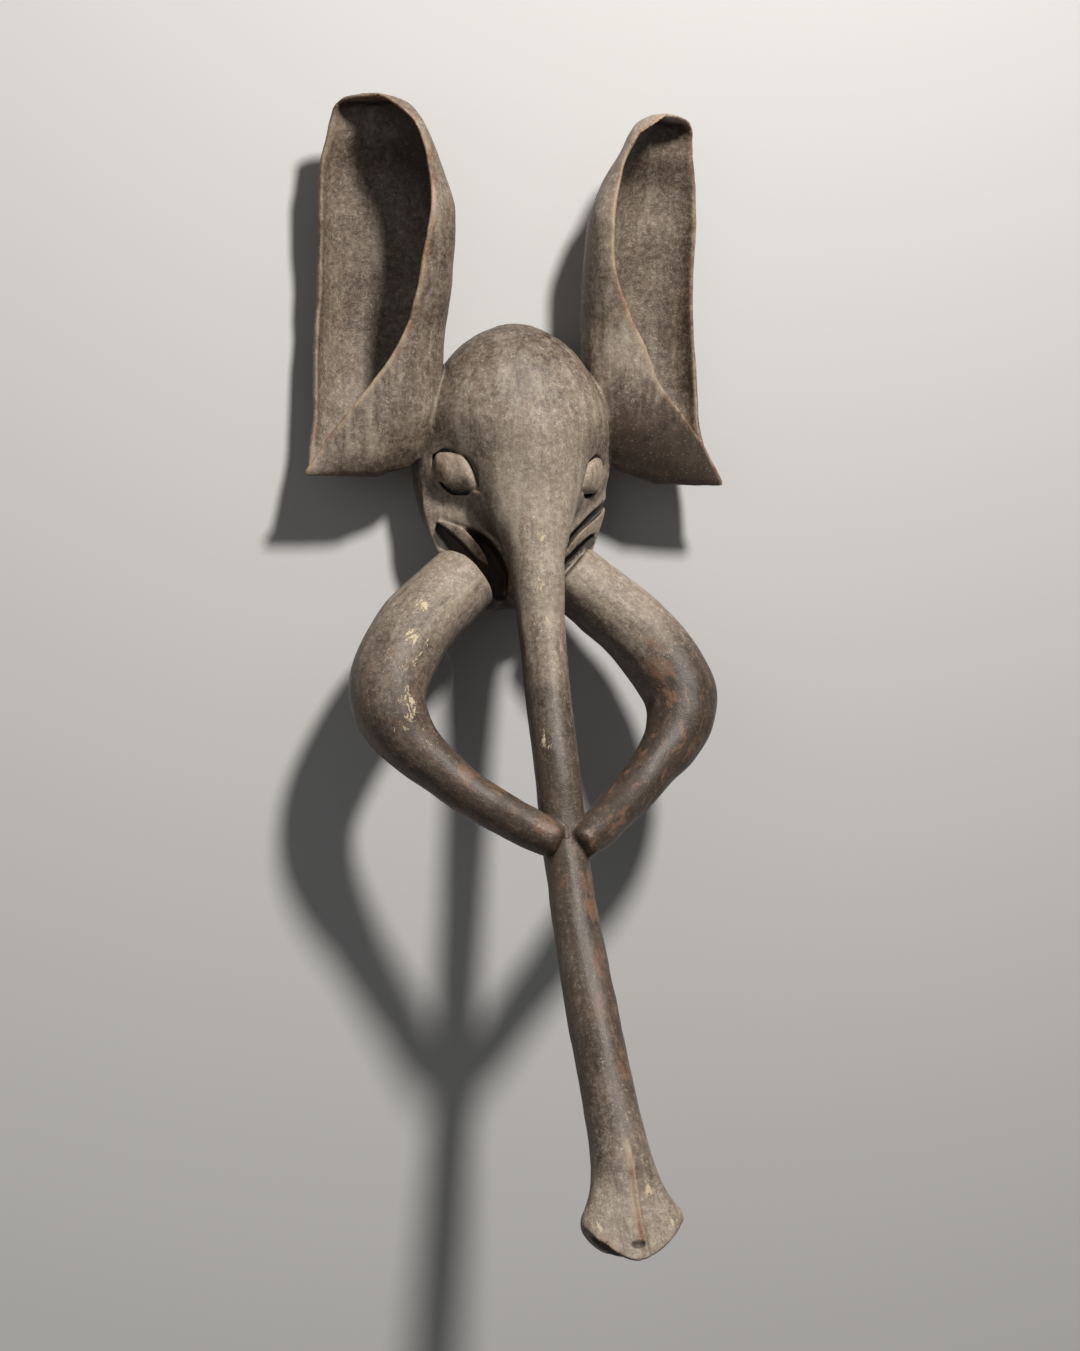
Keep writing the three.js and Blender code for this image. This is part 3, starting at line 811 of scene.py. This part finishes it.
# Reddish stains and pale flakes, by place, radius and strength
PIGMENT = [
    (137, 13, 159, 26, 0.9), (143, -15, 166, 30, 0.9), (147, -49, 174, 27, 0.81),
    (113, -122, 202, 39, 0.66), (165, -105, 195, 45, 0.71), (181, -55, 187, 45, 0.66),
    (131, -156, 200, 45, 0.66), (50, -196, 255, 51, 0.71), (22, -207, 262, 33, 0.76),
    (-106, -136, 211, 24, 0.9), (-71, -152, 221, 30, 0.85), (-34, -186, 262, 26, 0.95),
    (-57, -170, 235, 30, 0.66), (-142, -92, 192, 45, 0.43), (14, -249, 272, 26, 1),
    (16, -280, 285, 28, 1), (14, -331, 313, 32, 0.95), (8, -385, 337, 34, 0.85),
    (12, -440, 372, 34, 0.85), (24, 13, 170, 33, 0.47), (14, -54, 205, 39, 0.43),
    (-48, -598, 442, 14, 0.9), (43, -592, 449, 12, 0.9),
    (-2, -520, 428, 27, 0.66), (-50, 290, 165, 105, 0.43), (60, 250, 165, 75, 0.33)]
FLAKES = [
    (-43, -592, 450, 19, 1.1), (38, -589, 450, 13, 0.95), (14, -559, 441, 15, 0.95), (24, -552, 438, 10, 0.9),
    (-135, 51, 147, 18, 1), (-149, 12, 164, 29, 0.92), (-160, -15, 174, 27, 0.87),
    (-166, -54, 187, 25, 0.92), (-172, -78, 192, 20, 0.83), (-176, -119, 183, 25, 0.64),
    (-191, -43, 181, 29, 0.55), (-104, 85, 130, 29, 0.55), (-97, 57, 142, 32, 0.64),
    (-187, 12, 153, 32, 0.55), (-142, -92, 192, 25, 0.78), (-120, -120, 205, 22, 0.74),
    (-15, 169, 164, 32, 0.69), (-10, 124, 168, 25, 0.83), (-10, 79, 175, 25, 0.83),
    (-10, 35, 182, 25, 0.69), (-11, -32, 199, 25, 0.69), (-14, -98, 218, 25, 0.74),
    (-36, -196, 262, 16, 0.83), (30, 210, 175, 63, 0.55)]
# A line, its half width and its strength
CRACKS = [
    ([(191, 278, 104), (175, 264, 107), (160, 254, 105), (148, 245, 102)], 2.8, 0.75),
    ([(-18, 341, 126), (-23, 293, 150), (-22, 247, 164)], 2.6, 0.3)]


# Making the mesh
CENTRE_Y = (626 - 634.0823) / 2
BACK_RIM = 3
LIMIT = 196000
# Height of the carving's unevenness, how far it is drawn out, its seed and its length
RELIEF = ((0.28, 0.6, 11, 42), (0.12, 0.7, 12, 17))
# Half the room in x and y, and the room in z, that the mesh keeps within
ROOM = (254.3, 629.8, 480.3)


def waves(x, y, z, seed, length, count=14):
    """A smooth random field of about unit size, with waves of about one length."""
    rng = np.random.default_rng(seed)
    total = np.zeros_like(x)
    for _ in range(count):
        direction = rng.normal(size=3)
        direction /= np.linalg.norm(direction)
        k = direction * 2 * math.pi / (length * rng.uniform(0.7, 1.4))
        total += np.sin(x * k[0] + y * k[1] + z * k[2] + rng.uniform(0, 2 * math.pi))
    return total / math.sqrt(count / 2)


def carved_field(x, y, z):
    d = mask_field(x, y, z)
    near = np.abs(d) < 6
    relief = sum(height * waves(x[near], y[near] * drawn, z[near], seed, length)
                 for height, drawn, seed, length in RELIEF)
    d[near] = d[near] - relief * (z[near] > BACK_RIM)
    return d


def mesh_from(points, faces):
    """A mesh of faces that all have as many corners."""
    made = bpy.data.meshes.new("mask_wood")
    made.vertices.add(len(points))
    made.vertices.foreach_set("co", points.astype(np.float32).ravel())
    made.loops.add(faces.size)
    made.loops.foreach_set("vertex_index", faces.astype(np.int32).ravel())
    made.polygons.add(len(faces))
    made.polygons.foreach_set("loop_start", np.arange(0, faces.size, faces.shape[1], dtype=np.int32))
    made.update(calc_edges=True)
    made.validate()
    return made


def without_folds(thinned):
    """The triangles of a mesh but for pairs that lie folded onto each other, which thinning leaves."""
    points = np.empty(len(thinned.vertices) * 3, np.float32)
    thinned.vertices.foreach_get("co", points)
    faces = np.empty(len(thinned.loops), np.int32)
    thinned.loops.foreach_get("vertex_index", faces)
    faces = faces.reshape(-1, 3)
    _, which, count = np.unique(np.sort(faces, axis=1), axis=0, return_inverse=True, return_counts=True)
    used, faces = np.unique(faces[count[which.ravel()] == 1], return_inverse=True)
    return mesh_from(points.reshape(-1, 3)[used], faces.reshape(-1, 3))


COARSE = 2.4
MEDIUM = 1.5
FINE = 1.15
AXES = [
    spaced([(-262, COARSE), (-125, COARSE), (-100, FINE), (100, FINE), (125, COARSE)], -262, 262),
    spaced([(-645, MEDIUM), (-545, MEDIUM), (-510, COARSE), (60, COARSE), (92, FINE), (232, FINE), (260, COARSE)],
           -645, 640),
    spaced([(-6, COARSE), (50, COARSE), (70, FINE), (175, FINE), (200, COARSE)], -6, 492),
]
vertices, quads = surface_nets(carved_field, AXES)
place = vertices - np.array([0, CENTRE_Y, 0])
place = np.clip(place, (-ROOM[0], -ROOM[1], 0), ROOM)
mesh = mesh_from(place / 1000, quads)
mask = bpy.data.objects.new("mask_wood", mesh)
bpy.context.collection.objects.link(mask)
triangles = len(quads) * 2
if triangles > LIMIT:
    shrink = mask.modifiers.new("shrink", "DECIMATE")
    shrink.ratio = LIMIT / triangles
    shrink.use_collapse_triangulate = True
    graph = bpy.context.evaluated_depsgraph_get()
    reduced = bpy.data.meshes.new_from_object(mask.evaluated_get(graph))
    mask.modifiers.clear()
    mesh = without_folds(reduced)
    mask.data = mesh
mesh.polygons.foreach_set("use_smooth", np.ones(len(mesh.polygons), bool))


# What the material reads at each vertex
def store(name, values):
    attribute = mesh.attributes.new(name, "FLOAT", "POINT")
    attribute.data.foreach_set("value", values.astype(np.float32))


points = np.empty(len(mesh.vertices) * 3, np.float32)
mesh.vertices.foreach_get("co", points)
points = points.reshape(-1, 3).astype(float) * 1000 + np.array([0, CENTRE_Y, 0])
normals = np.empty(len(mesh.vertices) * 3, np.float32)
mesh.vertices.foreach_get("normal", normals)
normals = normals.reshape(-1, 3).astype(float)


def hollowness(reach):
    """How much wood stands in front of a surface within a reach: 0 on a flat, more in a crease."""
    ahead = points + normals * reach
    return np.clip(1 - mask_field(*ahead.T) / reach, 0, 2)


def roundness(reach):
    """How little wood lies behind a surface within a reach: 0 on a flat, more on an edge."""
    behind = points - normals * reach
    return np.clip(1 + mask_field(*behind.T) / reach, 0, 2)


px, py, pz = points.T
side = np.abs(px)
on_ear = (EAR_OUT(side, py, pz) < 3) & (side > 80) & (py > 180)
inside_ear = on_ear & (EAR_OUT(side, py, pz) < -3)
first_ear_outside = on_ear & ~inside_ear & (px > 0)
on_tusk = np.where(px > 0, tusks[0](side, py, pz), tusks[1](side, py, pz)) < 3
on_trunk = (trunk(px, py, pz) < 3) & (py < 84) & ~on_tusk
tusk_share, *on_line = TUSK.locate(side, py, pz)
grain_place = points.copy()
grain_place[on_tusk] = np.stack([on_line[1] + np.where(px > 0, 300, 600), on_line[0], on_line[2]], 1)[on_tusk]
_, *on_line = TRUNK.locate(px, py, pz)
grain_place[on_trunk] = np.stack([on_line[1], on_line[0] + 900, on_line[2]], 1)[on_trunk]
grain = mesh.attributes.new("grain_place", "FLOAT_VECTOR", "POINT")
grain.data.foreach_set("vector", (grain_place / 1000).astype(np.float32).ravel())


def spots(places):
    """The strongest of some soft round spots, each (x, y, z, radius, strength)."""
    best = np.zeros(len(points))
    for x, y, z, radius, strength in places:
        far = ((px - x) ** 2 + (py - y) ** 2 + (pz - z) ** 2) / radius ** 2
        best = np.maximum(best, strength * np.exp(-far))
    return best


marks = [face_sides[i][1](side, py, pz, head(side, py, pz)) for i in (0, 1)]
painted_shade_and_cracks, on_ball = (np.where(px > 0, marks[0][i], marks[1][i]) * ~(on_trunk | on_tusk | on_ear) for i in (0, 1))
# Painted light and shade: the share of pale dust grows on surfaces facing the key light
facing_light = smoothstep(normals @ DUST_AND_LIGHT_FROM, -0.35, 0.75)
dust_and_light = HEAD_DUST_AND_LIGHT(py)
dust_and_light = np.where(on_trunk, TRUNK_DUST_AND_LIGHT(py), dust_and_light)
dust_and_light = np.where(on_tusk, np.where(px > 0, TUSK_DUST_AND_LIGHT[0](tusk_share), TUSK_DUST_AND_LIGHT[1](tusk_share)), dust_and_light)
dust_and_light = np.where(on_ear, EAR_DUST, dust_and_light)
dust_and_light = np.where(first_ear_outside, FIRST_EAR_DUST_AND_LIGHT(py), dust_and_light)
dust_and_light = dust_and_light * (LEAST_DUST_AND_LIGHT + (1 - LEAST_DUST_AND_LIGHT) * facing_light) + 0.2 * on_ball
store("edge", roundness(3.5))
store("inside_ear", inside_ear.astype(float))
store("dust_and_light", dust_and_light)
# Painted shade and dirt in creases and hollows, from how much wood stands in front of a surface
store("crease", (0.65 * hollowness(3.5) + 0.35 * hollowness(12.0)) * np.where(on_ball > 0, 0.45, 1))

# Painted shade, partly dark patina: the ears' shaded insides, the lower tusks and trunk, and the +X ear's lower
# wall
painted_shade_and_patina = inside_ear * 0.95 * (1 - smoothstep(facing_light, 0.1, 0.6))
painted_shade_and_patina = np.maximum(painted_shade_and_patina, on_tusk * smoothstep(tusk_share, 0.1, 0.5) * np.where(px > 0, 0.5, 0.25))
painted_shade_and_patina = np.maximum(painted_shade_and_patina, on_trunk * 0.2 * smoothstep(-py, 0, 60) * smoothstep(py, -540, -430))
painted_shade_and_patina = np.maximum(painted_shade_and_patina, first_ear_outside * 0.6 * (1 - smoothstep(py, 235, 290)))
store("painted_shade_and_patina", painted_shade_and_patina)

# Painted shade in carved lines, under the lips, in the mouth and in the nostrils, and dark crack lines
for line, width, strength in CRACKS:
    crack = Limb(line, 60)
    _, along, across, ahead = crack.locate(px, py, pz)
    past = np.maximum(np.maximum(-along, along - crack.length[-1]), 0)
    away = np.sqrt(across ** 2 + ahead ** 2 + past ** 2)
    painted_shade_and_cracks = np.maximum(painted_shade_and_cracks, strength * (1 - smoothstep(away, width * 0.4, width)))
# painted shade in the nostrils and the pit between them
painted_shade_and_cracks = np.maximum(painted_shade_and_cracks, 0.9 * (1 - smoothstep(tip_holes(px, py, pz), -0.5, 1.2)) * (py < -560))
store("painted_shade_and_cracks", painted_shade_and_cracks)
store("pigment", np.maximum(spots(PIGMENT), 0.5 * (on_tusk & (tusk_share > 0.3))))
store("flakes", np.maximum(spots(FLAKES), 0.25 * dust_and_light))
# Pale rims of the ears and the trunk tip's ridge: wear and painted highlight
far_side, front_wall = ear_cuts(px, py, pz)
rim = np.clip(1 - np.abs(np.maximum(far_side, front_wall)) / RIM_WIDTH, 0, 1)
rim = rim * np.where(front_wall > far_side, 1, 0.4)
rim = np.where(on_ear, rim, 0)
ridge = np.exp(-((px + 1.5) / 4) ** 2) * smoothstep(-py, 495, 530) * (normals[:, 2] > 0.3) * (py > -604)
store("rim", np.where(on_trunk, 1.1 * ridge, rim))


# Material
class Nodes:
    """Short calls for building a material."""

    def __init__(self, name):
        self.material = bpy.data.materials.new(name)
        self.material.use_nodes = True
        self.tree = self.material.node_tree
        self.tree.nodes.clear()

    def add(self, kind, inputs=None, **settings):
        node = self.tree.nodes.new(kind)
        for key, value in settings.items():
            setattr(node, key, value)
        for key, value in (inputs or {}).items():
            if isinstance(value, bpy.types.NodeSocket):
                self.tree.links.new(value, node.inputs[key])
            else:
                node.inputs[key].default_value = value
        return node

    def attribute(self, name):
        return self.add("ShaderNodeAttribute", attribute_name=name).outputs["Fac"]

    def math(self, operation, a, b):
        return self.add("ShaderNodeMath", {0: a, 1: b}, operation=operation).outputs[0]

    def ramp(self, value, start, end, low=0.0, high=1.0):
        node = self.add("ShaderNodeMapRange", {0: value, 1: start, 2: end, 3: low, 4: high})
        node.interpolation_type = "SMOOTHSTEP"
        return node.outputs[0]

    def mix(self, share, a, b):
        node = self.add("ShaderNodeMix", data_type="RGBA")
        for socket, value in ((node.inputs[0], share), (node.inputs[6], a), (node.inputs[7], b)):
            if isinstance(value, bpy.types.NodeSocket):
                self.tree.links.new(value, socket)
            else:
                socket.default_value = value
        return node.outputs[2]

    def noise(self, vector, scale, detail=4.0, rough=0.6, distortion=0.0):
        return self.add("ShaderNodeTexNoise", {
            "Vector": vector, "Scale": scale, "Detail": detail, "Roughness": rough, "Distortion": distortion,
        }).outputs["Fac"]

    def stretched(self, vector, scale):
        return self.add("ShaderNodeMapping", {"Vector": vector, "Scale": scale}).outputs[0]


def shade(r, g, b):
    """A colour from its 0 to 255 values on screen."""
    linear = (((c / 255 + 0.055) / 1.055) ** 2.4 if c > 10 else c / 255 / 12.92 for c in (r, g, b))
    return (*linear, 1.0)


def aged_wood():
    n = Nodes("aged_wood")
    place = n.add("ShaderNodeTexCoord").outputs["Object"]
    along = n.add("ShaderNodeAttribute", attribute_name="grain_place").outputs["Vector"]
    broad = n.noise(place, 7, 3, 0.55)
    cloud = n.noise(place, 26, 5, 0.62)
    fine = n.noise(place, 170, 5, 0.7)
    strokes = n.noise(n.stretched(along, (1, 0.25, 1)), 95, 7, 0.72, 0.3)
    mottle = n.noise(place, 130, 6, 0.72)
    speck = n.noise(place, 430, 3, 0.7)
    pits = n.noise(place, 620, 2, 0.6)
    grain = n.noise(n.stretched(along, (1, 0.09, 1)), 200, 5, 0.65, 0.3)
    streak = n.noise(n.stretched(along, (1, 0.05, 1)), 62, 4, 0.6)
    patch = n.noise(n.stretched(along, (1, 0.35, 1)), 100, 8, 0.72, 0.4)
    flakes = n.noise(n.stretched(along, (1.2, 0.5, 1.2)), 105, 9, 0.74, 0.5)
    crease, edge, rim = n.attribute("crease"), n.attribute("edge"), n.attribute("rim")
    dust_and_light, inside, painted_shade_and_cracks = n.attribute("dust_and_light"), n.attribute("inside_ear"), n.attribute("painted_shade_and_cracks")

    # bare wood, and the grey dust over it, finer inside the ears and drawn out along the grain elsewhere; the
    # dust's amount also paints light on surfaces facing the key light and shade on the others
    drawn = n.math("ADD", n.math("MULTIPLY", strokes, 0.45), n.math("MULTIPLY", fine, 0.55))
    outside = n.math("MULTIPLY", drawn, n.math("SUBTRACT", 1.0, inside))
    variety = n.math("ADD", n.math("MULTIPLY", fine, inside), outside)
    colour = n.mix(n.ramp(cloud, 0.3, 0.7), shade(60, 48, 39), shade(84, 69, 56))
    colour = n.mix(n.ramp(broad, 0.4, 0.64, 0, 0.5), colour, shade(76, 58, 45))
    colour = n.mix(n.ramp(variety, 0.4, 0.68, 0, 0.6), colour, shade(112, 96, 81))
    grey = n.mix(n.ramp(mottle, 0.34, 0.72), shade(142, 127, 112), shade(178, 164, 147))
    uneven = n.ramp(variety, 0.3, 0.7, -0.25, 0.25)
    grey_cover = n.math("ADD", dust_and_light, n.math("MULTIPLY", uneven, n.ramp(inside, 0, 1, 1, 0.5)))
    grey_cover = n.math("ADD", grey_cover, n.ramp(cloud, 0.3, 0.7, -0.07, 0.07))
    colour = n.mix(n.ramp(grey_cover, 0.15, 1.05, 0, 0.95), colour, grey)
    colour = n.mix(n.ramp(grain, 0.5, 0.74, 0, 0.4), colour, shade(64, 51, 41))
    # painted shade, partly dark patina, on the ears' shaded insides, the lower tusks and trunk and the +X ear's
    # lower wall
    colour = n.mix(n.attribute("painted_shade_and_patina"), colour, shade(44, 35, 28))
    light = n.math("MULTIPLY", n.ramp(streak, 0.5, 0.72, 0, 0.5), dust_and_light)
    colour = n.mix(light, colour, shade(186, 174, 156))
    dark = n.math("MULTIPLY", n.ramp(speck, 0.36, 0.46, 0.5, 0), n.ramp(cloud, 0.4, 0.62, 1, 0.4))
    colour = n.mix(dark, colour, shade(48, 38, 31))

    # reddish stain, wear on edges, and wear with painted highlight on rims
    stained = n.math("ADD", patch, n.math("MULTIPLY", n.math("SUBTRACT", n.attribute("pigment"), 1.0), 0.3))
    colour = n.mix(n.ramp(stained, 0.38, 0.52, 0, 0.7), colour, shade(126, 94, 72))
    worn = n.math("MULTIPLY", n.ramp(edge, 0.4, 1.1), n.ramp(mottle, 0.38, 0.62, 0.1, 0.7))
    colour = n.mix(worn, colour, shade(158, 124, 98))
    # wear and painted highlight on rims
    rim_wear_and_highlight = n.math("MULTIPLY", n.ramp(rim, 0.1, 0.75), n.ramp(strokes, 0.34, 0.6, 0.3, 0.85))
    colour = n.mix(rim_wear_and_highlight, colour, n.mix(n.ramp(cloud, 0.4, 0.6), shade(138, 98, 74), shade(176, 154, 128)))

    # pale crust and flakes, then painted shade and dirt in creases, then painted shade in carved lines, the mouth
    # and the nostrils, with dark cracks
    crust = n.math("MULTIPLY", n.ramp(speck, 0.58, 0.66), n.ramp(mottle, 0.44, 0.6))
    crust = n.math("MULTIPLY", crust, n.math("ADD", n.math("MULTIPLY", dust_and_light, 0.6), 0.2))
    colour = n.mix(crust, colour, shade(206, 196, 176))
    flaked = n.math("ADD", flakes, n.math("MULTIPLY", n.math("SUBTRACT", n.attribute("flakes"), 1.0), 0.34))
    flake = n.ramp(flaked, 0.46, 0.5)
    colour = n.mix(n.math("MULTIPLY", flake, 0.9), colour, shade(204, 186, 154))
    # painted shade and dirt in creases
    colour = n.mix(n.ramp(crease, 0.3, 1.15, 0, 0.9), colour, shade(30, 23, 18))
    # painted shade in carved lines, under the lips and in the nostrils, and dark cracks
    colour = n.mix(n.math("MULTIPLY", painted_shade_and_cracks, 0.9), colour, shade(26, 19, 15))

    height = n.math("ADD", n.math("MULTIPLY", grain, -0.5), n.math("MULTIPLY", mottle, 0.9))
    pitted = n.math("MULTIPLY", pits, n.math("ADD", n.math("MULTIPLY", inside, 0.6), 0.35))
    height = n.math("ADD", height, pitted)
    height = n.math("ADD", height, n.math("MULTIPLY", flake, 0.3))
    bump = n.add("ShaderNodeBump", {"Strength": 0.6, "Distance": 0.0011, "Height": height})
    rough = n.ramp(grey_cover, 0.1, 0.9, 0.48, 0.62)
    surface = n.add("ShaderNodeBsdfPrincipled", {
        "Base Color": colour, "Roughness": rough, "Normal": bump.outputs[0], "Specular IOR Level": 0.5})
    n.add("ShaderNodeOutputMaterial", {"Surface": surface.outputs[0]})
    return n.material


mesh.materials.clear()
mesh.materials.append(aged_wood())
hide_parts("elephant_mask")
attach(mask, "root")


# Floor and light
FLOOR_SIZE = 6.0
FLOOR_LEVEL = -0.0005
FLOOR_COLOUR = (0.56, 0.555, 0.545, 1)


def floor():
    s = FLOOR_SIZE
    data = bpy.data.meshes.new("floor")
    data.from_pydata([(-s, -s, 0), (s, -s, 0), (s, s, 0), (-s, s, 0)], [], [(0, 1, 2, 3)])
    item = bpy.data.objects.new("floor", data)
    item.location.z = FLOOR_LEVEL
    bpy.context.collection.objects.link(item)
    n = Nodes("floor")
    surface = n.add("ShaderNodeBsdfPrincipled", {"Base Color": FLOOR_COLOUR, "Roughness": 0.9})
    n.add("ShaderNodeOutputMaterial", {"Surface": surface.outputs[0]})
    data.materials.append(n.material)


def area_light(name, place, aim, size, power, colour):
    data = bpy.data.lights.new(name, "AREA")
    data.shape = "DISK"
    data.size = size
    data.energy = power
    data.color = colour
    item = bpy.data.objects.new(name, data)
    item.location = place
    item.rotation_euler = (Vector(aim) - Vector(place)).to_track_quat("-Z", "Y").to_euler()
    bpy.context.collection.objects.link(item)


floor()
area_light("key", (0.46, 2.25, 2.35), (0, 0, 0.15), 0.45, 130, (1.0, 0.97, 0.93))
area_light("fill", (-2.2, 0.4, 2.6), (0, 0, 0.1), 2.4, 8, (0.95, 0.97, 1.0))
world = bpy.data.worlds.new("studio")
world.use_nodes = True
world.node_tree.nodes["Background"].inputs[0].default_value = (1, 1, 1, 1)
world.node_tree.nodes["Background"].inputs[1].default_value = 0.09
bpy.context.scene.world = world
bpy.context.scene.view_settings.view_transform = "Standard"
